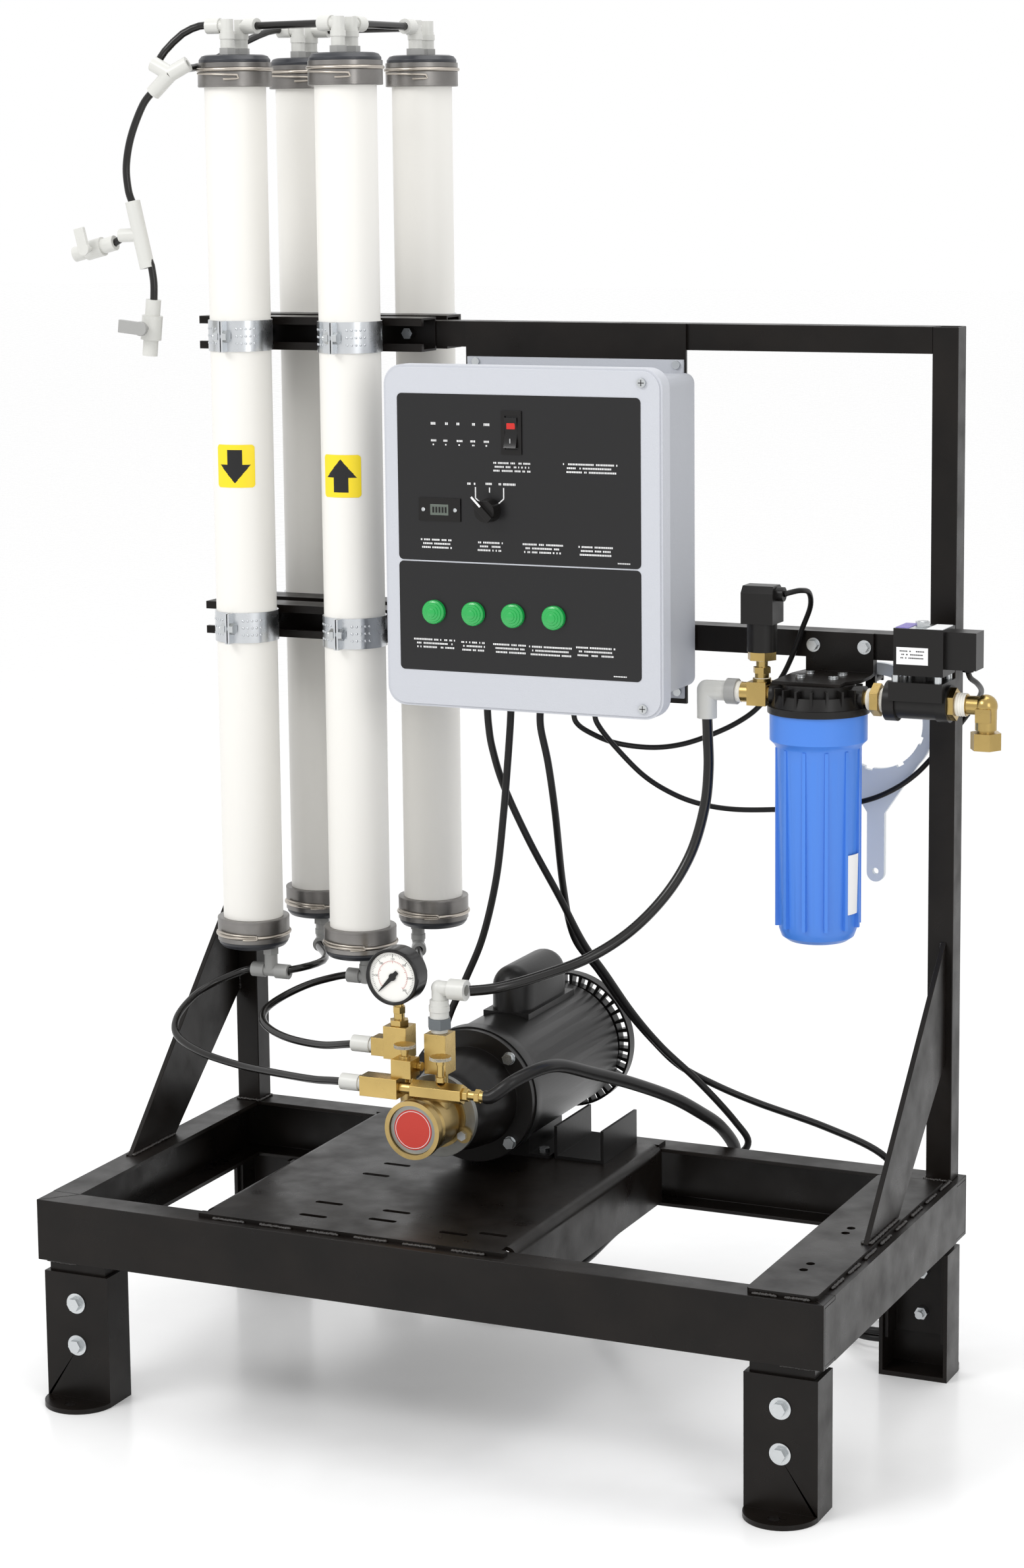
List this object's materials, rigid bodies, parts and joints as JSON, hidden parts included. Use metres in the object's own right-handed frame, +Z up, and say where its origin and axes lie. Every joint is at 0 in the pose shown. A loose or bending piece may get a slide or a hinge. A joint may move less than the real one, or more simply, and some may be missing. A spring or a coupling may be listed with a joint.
{
  "type": "reverse osmosis unit",
  "caption": "Floor-standing reverse osmosis unit: upright membrane housings, sediment filter, booster pump with motor, control box and brass manifold on a black welded steel stand.",
  "frame": {"origin": "on the floor, under the centre of the rigid object's bounding box", "axes": "+X to the right along the front, +Y from the front to the rear, +Z up"},
  "size_m": [1.191, 0.7176, 1.6493],
  "materials": {
    "black_powder_coat": "gloss powder coat",
    "zinc": "bright zinc plate",
    "spring_wire": "satin",
    "white_housing": "satin white",
    "membrane_wrap": "satin",
    "filter_media": "matt",
    "black_plastic": "satin",
    "white_fitting": "satin",
    "black_tube": "gloss",
    "black_hose": "satin",
    "black_cable": "satin",
    "enclosure_grey": "fine texture",
    "chassis_zinc": "satin",
    "red_plastic": "gloss",
    "blue_sump": "satin",
    "spanner_plastic": "satin",
    "instrument_black": "satin",
    "brass": "as machined",
    "cast_black": "gloss black paint",
    "motor_black": "gloss black paint",
    "rotor_steel": "machined",
    "clear_knob": "clear",
    "needle_black": "matt",
    "grey_plastic": "satin"
  },
  "bodies": {
    "frame": {"long_rails": "black_powder_coat", "side_rails": "black_powder_coat", "pump_plate": "black_powder_coat", "side_plate": "black_powder_coat", "legs": "black_powder_coat", "leg_stubs": "black_powder_coat", "uprights": "black_powder_coat", "cross_bars": "black_powder_coat", "gussets": "black_powder_coat", "panel_plate": "black_powder_coat", "struts": "black_powder_coat", "tube_clamps": "zinc", "housing_tubes": "white_housing", "end_plugs": "black_plastic", "retaining_rings": "spring_wire", "membranes": "membrane_wrap", "membrane_fittings": "white_fitting", "link_tubes": "black_tube", "enclosure_box": "enclosure_grey", "control_chassis": "chassis_zinc", "cable_glands": "black_plastic", "fasteners": "zinc", "filter_bracket": "black_powder_coat", "filter_head": "black_plastic", "filter_cartridge": "filter_media", "pressure_switch": "instrument_black", "line_fittings": "brass", "solenoid_valve": "instrument_black", "pump_body": "brass", "pump_adapter": "cast_black", "motor_body": "motor_black", "manifold": "brass", "gauge_case": "instrument_black", "product_fittings": "white_fitting", "product_tube": "black_tube", "loop_tube_outer": "black_tube", "loop_tube_inner": "black_tube", "suction_tube": "black_tube", "drain_hose": "black_hose", "drain_hose_coil": "black_hose", "power_cord": "black_cable", "power_cord_coil": "black_cable", "power_plug": "black_cable", "motor_cable": "black_cable", "level_cable": "black_cable", "level_cable_coil": "black_cable", "switch_cable": "black_cable", "solenoid_cable": "black_cable"},
    "cover": {"enclosure_cover": "enclosure_grey", "door_instruments": "black_plastic"},
    "rocker": {"rocker_switch": "red_plastic"},
    "selector": {"selector_knob": "black_plastic"},
    "sump": {"filter_sump": "blue_sump"},
    "spanner": {"filter_spanner": "spanner_plastic"},
    "rotor": {"motor_rotor": "rotor_steel"},
    "bypass_knob": {"bypass_valve_knob": "clear_knob"},
    "drain_knob": {"drain_valve_knob": "clear_knob"},
    "needle": {"gauge_needle": "needle_black"},
    "left_lever": {"left_valve_lever": "grey_plastic"},
    "lower_lever": {"lower_valve_lever": "grey_plastic"}
  },
  "joints": [
    {"name": "cover_hinge", "type": "hinge", "parent": "frame", "child": "cover", "pos_m": [-0.213, 0.037, 1.028], "axis": [0, 0, -1], "range_deg": [0, 110]},
    {"name": "rocker", "type": "hinge", "parent": "cover", "child": "rocker", "pos_m": [-0.038, 0.019, 1.1558], "axis": [1, 0, 0], "range_deg": [-4, 4]},
    {"name": "selector", "type": "hinge", "parent": "cover", "child": "selector", "pos_m": [-0.0675, 0.007, 1.063], "axis": [0, 1, 0], "range_deg": [0, 90]},
    {"name": "sump_thread", "type": "hinge", "parent": "frame", "child": "sump", "pos_m": [0.311, 0.106, 0.7], "axis": [0, 0, 1], "range_deg": [0, 360]},
    {"name": "spanner_swing", "type": "hinge", "parent": "frame", "child": "spanner", "pos_m": [0.345, 0.224, 0.8533], "axis": [0, 1, 0], "range_deg": [-6, 3]},
    {"name": "motor_shaft", "type": "hinge", "parent": "frame", "child": "rotor", "pos_m": [-0.1, 0.058, 0.3436], "axis": [0, 1, 0], "continuous": true},
    {"name": "bypass_valve", "type": "hinge", "parent": "frame", "child": "bypass_knob", "pos_m": [-0.115, -0.146, 0.43], "axis": [0, 0, 1], "range_deg": [0, 720]},
    {"name": "drain_valve", "type": "hinge", "parent": "frame", "child": "drain_knob", "pos_m": [-0.0646, -0.154, 0.43], "axis": [0, 0, 1], "range_deg": [0, 720]},
    {"name": "gauge_pointer", "type": "hinge", "parent": "frame", "child": "needle", "pos_m": [-0.136, -0.134, 0.52], "axis": [0, 1, 0], "range_deg": [0, 270]},
    {"name": "left_valve", "type": "hinge", "parent": "frame", "child": "left_lever", "pos_m": [-0.62611, 0.048, 1.36874], "axis": [0, 1, 0], "range_deg": [0, 90]},
    {"name": "lower_valve", "type": "hinge", "parent": "frame", "child": "lower_lever", "pos_m": [-0.54766, 0.048, 1.27119], "axis": [0, 1, 0], "range_deg": [0, 90]}
  ]
}
